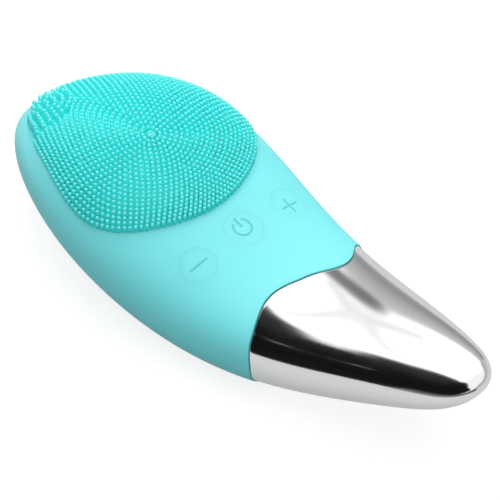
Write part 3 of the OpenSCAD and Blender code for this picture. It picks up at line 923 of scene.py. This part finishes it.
class BRUSH_OT_tail(Operator):
    """Builds the metal tail with its rolled rim, in the frame's own bright metal"""

    bl_idname = "brush.tail"
    bl_label = "Metal tail"

    def execute(self, context):
        body = context.scene.brush_body
        skin = Skin(body)
        edge = (SEAM_GAP + body.groove) / 2
        points, faces = shell_mesh(
            skin, lambda a: seam(a) + edge, tip=math.pi, wall=body.cover_wall, round_r=0.15 * MM,
            d_out=body.cover_step, rows=170, inner_rows=40, columns=384)
        plating = bpy.data.materials["bright_metal"]
        tail = new_piece("metal_tail", points, faces, plating, "casing")
        surface_normals(tail, skin, body.cover_step)
        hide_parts("tail_cover")
        self.seal(skin, body)
        return {"FINISHED"}

    def seal(self, skin, body):
        """The soft ring at the bottom of the groove."""
        columns = 384
        a = np.linspace(0, 2 * math.pi, columns, endpoint=False)
        middle, half = seam(a) + SEAM_GAP / 2, 0.4 * body.groove
        high, low = body.cover_step + 0.4 * MM, body.sleeve_wall - 0.1 * MM
        corners = ((-1, high), (1, high), (1, low), (-1, low))
        points = np.concatenate([skin.point(middle + way * half, a, d) for way, d in corners])
        faces = [(i * columns + j, (i + 1) % 4 * columns + j, (i + 1) % 4 * columns + (j + 1) % columns,
                  i * columns + (j + 1) % columns) for i in range(4) for j in range(columns)]
        rubber = moulded("seal_rubber", (0.016, 0.017, 0.018), (0.026, 0.027, 0.028), 0.6)
        ring = new_piece("seal_ring", points, faces, rubber, "casing", smooth=False)
        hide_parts("tail_seal")


class BRUSH_OT_inside(Operator):
    """Gives the frame's own parts their finishes"""

    bl_idname = "brush.inside"
    bl_label = "Inner parts"

    def execute(self, context):
        for name, made in inner_finishes().items():
            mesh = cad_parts[name].data
            mesh.materials.clear()
            mesh.materials.append(made)
        return {"FINISHED"}


# ---- the stage ----
# Lower edge of the black flag: degrees round from the camera's side, and degrees above the floor.
FLAG_EDGE = (
    (-180, 70), (-160, 62), (-145, 57), (-138, 51), (-125, 50), (-124, 14), (-115, 1), (-50, 1), (-45, 5),
    (-38, 20), (0, 26), (50, 34), (60, 58), (70, 65), (150, 76), (180, 70))
# The softbox's frame, in the same way: two straight sides that meet in a corner.
SOFTBOX_FRAME = ((181, 36), (188, 32), (208, 54))
# The walls: turns from and to, rises with the tone at each, distance in metres and power.
WALLS = {
    "near_wall": ((-50, 65), ((-1, 0.30), (6, 0.27), (15, 0.10), (27, 0.03)), 1.25, 1.0),
    "side_wall": ((65, 145), ((-1, 0.66), (32, 0.42)), 1.25, 1.0),
    "far_wall": ((145, 225), ((-1, 0.40), (8, 0.29), (16, 0.42), (27, 0.60)), 1.25, 1.0),
    "softbox_face": ((135, 237), ((27, 1.0), (74, 1.0)), 3.5, 1.3),
    "light_strip": ((-135, -30), ((-0.4, 0.9), (1.0, 0.9)), 1.1, 1.0),
    "glint_strip": ((-88.5, -85.5), ((45.6, 1.0), (46.3, 1.0)), 1.1, 1.0),
}
# What the stage stands round, what the camera aims at, and how far right and up of that it points.
STAGE_MIDDLE = Vector((20 * MM, 0, 20 * MM))
AIM = Vector((0.15 * MM, 0, 12 * MM))
AIM_RIGHT = 1.88 * MM
AIM_UP = 3.54 * MM


def direction(turn, rise, stage):
    """A unit vector: turn from the camera's side towards its right, and rise above the floor."""
    a = stage.turn
    right = Vector((math.cos(a), math.sin(a), 0))
    near = Vector((math.sin(a), -math.cos(a), 0))
    level = near * math.cos(turn) + right * math.sin(turn)
    return level * math.cos(rise) + Vector((0, 0, 1)) * math.sin(rise)


class BRUSH_OT_stage(Operator):
    """Builds the camera, floor, lights and the cards that the metal mirrors"""

    bl_idname = "brush.stage"
    bl_label = "Stage"

    def execute(self, context):
        scene = context.scene
        stage = scene.brush_stage
        scene.view_settings.view_transform = "Standard"
        self.camera(scene, stage)
        self.world(scene, stage)
        self.floor(scene)
        behind = direction(184 * DEGREE, 47 * DEGREE, stage)
        self.light("softbox_light", behind, 0.9, (1.0, 0.52), stage.softbox)
        self.light("overhead_light", Vector((0, 0, 1)), 1.0, (1.5, 1.5), stage.overhead)
        self.flag(stage)
        for name, wall in WALLS.items():
            self.wall(name, stage, *wall)
        self.edge_strip(stage)
        self.near_flag(stage)
        return {"FINISHED"}

    def camera(self, scene, stage):
        data = bpy.data.cameras.new("camera")
        data.lens = stage.lens
        data.sensor_width = 36.0
        data.clip_start = 0.01
        data.clip_end = 20.0
        camera = bpy.data.objects.new("camera", data)
        scene.collection.objects.link(camera)
        back = direction(0, stage.elevation, stage)
        right = direction(math.pi / 2, 0, stage)
        up = back.cross(right)
        aim = AIM + right * AIM_RIGHT + up * AIM_UP
        facing = Matrix((right, up, back)).transposed().to_4x4()
        camera.matrix_world = (Matrix.Translation(aim + back * stage.distance) @ facing
                               @ Matrix.Rotation(stage.roll, 4, "Z"))
        scene.camera = camera

    def world(self, scene, stage):
        world = bpy.data.worlds.new("studio")
        scene.world = world
        g = Graph(world)
        path = g.node("ShaderNodeLightPath")
        seen = (g.value(path, "Is Camera Ray") + g.value(path, "Is Glossy Ray")
                + g.value(path, "Is Transmission Ray")).limit()
        dim = g.node("ShaderNodeBackground", {}, {"Color": (1, 1, 1, 1), "Strength": stage.ambient})
        white = g.node("ShaderNodeBackground", {}, {"Color": (1, 1, 1, 1), "Strength": 1.0})
        both = g.node("ShaderNodeMixShader", {}, {0: seen, 1: dim.outputs[0], 2: white.outputs[0]})
        g.finish(both, "ShaderNodeOutputWorld")

    def floor(self, scene):
        half = 1.6
        corners = [(-half, -half, 0), (half, -half, 0), (half, half, 0), (-half, half, 0)]
        mesh = bpy.data.meshes.new("floor")
        mesh.from_pydata(corners, [], [(0, 1, 2, 3)])
        floor = bpy.data.objects.new("floor", mesh)
        scene.collection.objects.link(floor)
        made, g = material("pale_floor")
        path = g.node("ShaderNodeLightPath")
        seen = g.value(path, "Is Camera Ray") * 0.80 + g.value(path, "Is Glossy Ray") * 0.32
        paper = g.node("ShaderNodeBsdfDiffuse", {}, {"Color": (0.36, 0.36, 0.36, 1), "Roughness": 0.6})
        glow = g.emission((1, 1, 1, 1), seen)
        both = g.node("ShaderNodeAddShader", {}, {0: paper.outputs[0], 1: glow.outputs[0]})
        g.finish(both)
        mesh.materials.append(made)

    def light(self, name, way, distance, size, power):
        data = bpy.data.lights.new(name, "AREA")
        data.shape = "RECTANGLE"
        data.size, data.size_y = size
        data.energy = power
        lamp = bpy.data.objects.new(name, data)
        lamp.location = STAGE_MIDDLE + way * distance
        lamp.rotation_mode = "QUATERNION"
        lamp.rotation_quaternion = way.to_track_quat("Z", "Y")
        bpy.context.scene.collection.objects.link(lamp)
        lamp.visible_glossy = False
        lamp.visible_camera = False

    def card(self, name, stage, turns, rise_at, glow_at, made, away, rows=16, columns=90,
             middle=STAGE_MIDDLE):
        """A sheet bent round the object, which only mirrors see.

        rise_at(turn, share) gives its height in degrees and glow_at(turn, rise) its tone.
        """
        points, glow = [], []
        for i in range(rows + 1):
            for j in range(columns + 1):
                turn = turns[0] + (turns[1] - turns[0]) * j / columns
                rise = rise_at(turn, i / rows)
                points.append(middle + direction(turn * DEGREE, rise * DEGREE, stage) * away)
                glow.append(glow_at(turn, rise))
        faces = [(k, k + 1, k + columns + 2, k + columns + 1)
                 for i in range(rows) for k in range(i * (columns + 1), i * (columns + 1) + columns)]
        mesh = bpy.data.meshes.new(name)
        mesh.from_pydata(points, [], faces)
        point_values(mesh, "glow", glow)
        mesh.materials.append(made)
        card = bpy.data.objects.new(name, mesh)
        bpy.context.scene.collection.objects.link(card)
        for ray in ("camera", "diffuse", "shadow", "transmission", "volume_scatter"):
            setattr(card, "visible_" + ray, False)

    def edge_strip(self, stage):
        """The thin grey frame of the softbox."""
        turns, rises = zip(*SOFTBOX_FRAME)
        made, g = material("softbox_frame")
        g.finish(g.emission((0.42, 0.42, 0.42, 1)))
        self.card("softbox_frame", stage, (turns[0], turns[-1]),
                  lambda turn, share: float(np.interp(turn, turns, rises)) + 1.6 * (share - 0.5),
                  lambda turn, rise: 0.0, made, rows=1, away=2.2)

    def near_flag(self, stage):
        """A small dark flag close to the metal, soft at its edges."""
        made, g = material("near_flag")
        dark = g.emission((0.05, 0.05, 0.05, 1))
        clear = g.node("ShaderNodeBsdfTransparent")
        both = g.node("ShaderNodeMixShader", {}, {
            0: g.attribute("glow"), 1: clear.outputs[0], 2: dark.outputs[0]})
        g.finish(both)

        def cover(turn, rise):
            off = math.hypot((turn - 180) / 8, (rise - 33) / 9)
            return 0.9 * float(1 - smooth_step(0.7, 0.6, off))

        self.card("near_flag", stage, (165, 195), lambda turn, share: 20 + 26 * share, cover, made,
                  columns=30, away=0.06, middle=Vector((24 * MM, 9 * MM, 22 * MM)))

    def flag(self, stage):
        """A large black flag overhead that comes down on the camera's left, with a listed lower edge."""
        turns, edges = zip(*FLAG_EDGE)
        made, g = material("black_flag")
        streaks = g.noise(4.5, 6.0, stretch=(1, 3, 6), roughness=0.62)
        patches = ((streaks - 0.5) * 4.0).limit()
        g.finish(g.emission(g.mix(patches, (0.004, 0.004, 0.004), (0.035, 0.035, 0.036))))

        def rise_at(turn, share):
            edge = float(np.interp(turn, turns, edges))
            return edge + (89.9 - edge) * share

        self.card("black_flag", stage, (-180, 180), rise_at, lambda turn, rise: 0.0, made,
                  columns=240, away=2.4)

    def wall(self, name, stage, turns, stops, away, power):
        """An upright curved sheet whose tone changes with height."""
        rises, tones = zip(*stops)
        made, g = material(name)
        g.finish(g.emission(g.mix(g.attribute("glow"), (0, 0, 0), (1, 1, 1)), power))
        self.card(name, stage, turns,
                  lambda turn, share: rises[0] + (rises[-1] - rises[0]) * share,
                  lambda turn, rise: float(np.interp(rise, rises, tones)), made, away=away)


OPERATORS = (
    BRUSH_OT_stage, BRUSH_OT_sleeve, BRUSH_OT_keys, BRUSH_OT_bristles, BRUSH_OT_tail, BRUSH_OT_inside)
GROUPS = {"brush_body": BrushBody, "brush_bristles": BrushBristles, "brush_finish": BrushFinish,
          "brush_stage": BrushStage}


class BRUSH_PT_panel(Panel):
    """Settings and steps of the brush"""

    bl_label = "Facial cleansing brush"
    bl_idname = "BRUSH_PT_panel"
    bl_space_type = "VIEW_3D"
    bl_region_type = "UI"
    bl_category = "Brush"

    def draw(self, context):
        for group, kind in GROUPS.items():
            box = self.layout.box()
            box.label(text=kind.__doc__.split(",")[0].rstrip("."))
            for name in kind.__annotations__:
                box.prop(getattr(context.scene, group), name)
        for step in OPERATORS:
            self.layout.operator(step.bl_idname)


def register():
    for kind in (*GROUPS.values(), *OPERATORS, BRUSH_PT_panel):
        bpy.utils.register_class(kind)
    for name, kind in GROUPS.items():
        setattr(bpy.types.Scene, name, PointerProperty(type=kind))


def unregister():
    for name in GROUPS:
        delattr(bpy.types.Scene, name)
    for kind in reversed((*GROUPS.values(), *OPERATORS, BRUSH_PT_panel)):
        bpy.utils.unregister_class(kind)


def main():
    register()
    for step in OPERATORS:
        group, name = step.bl_idname.split(".")
        getattr(getattr(bpy.ops, group), name)()


if __name__ == "__main__":
    main()
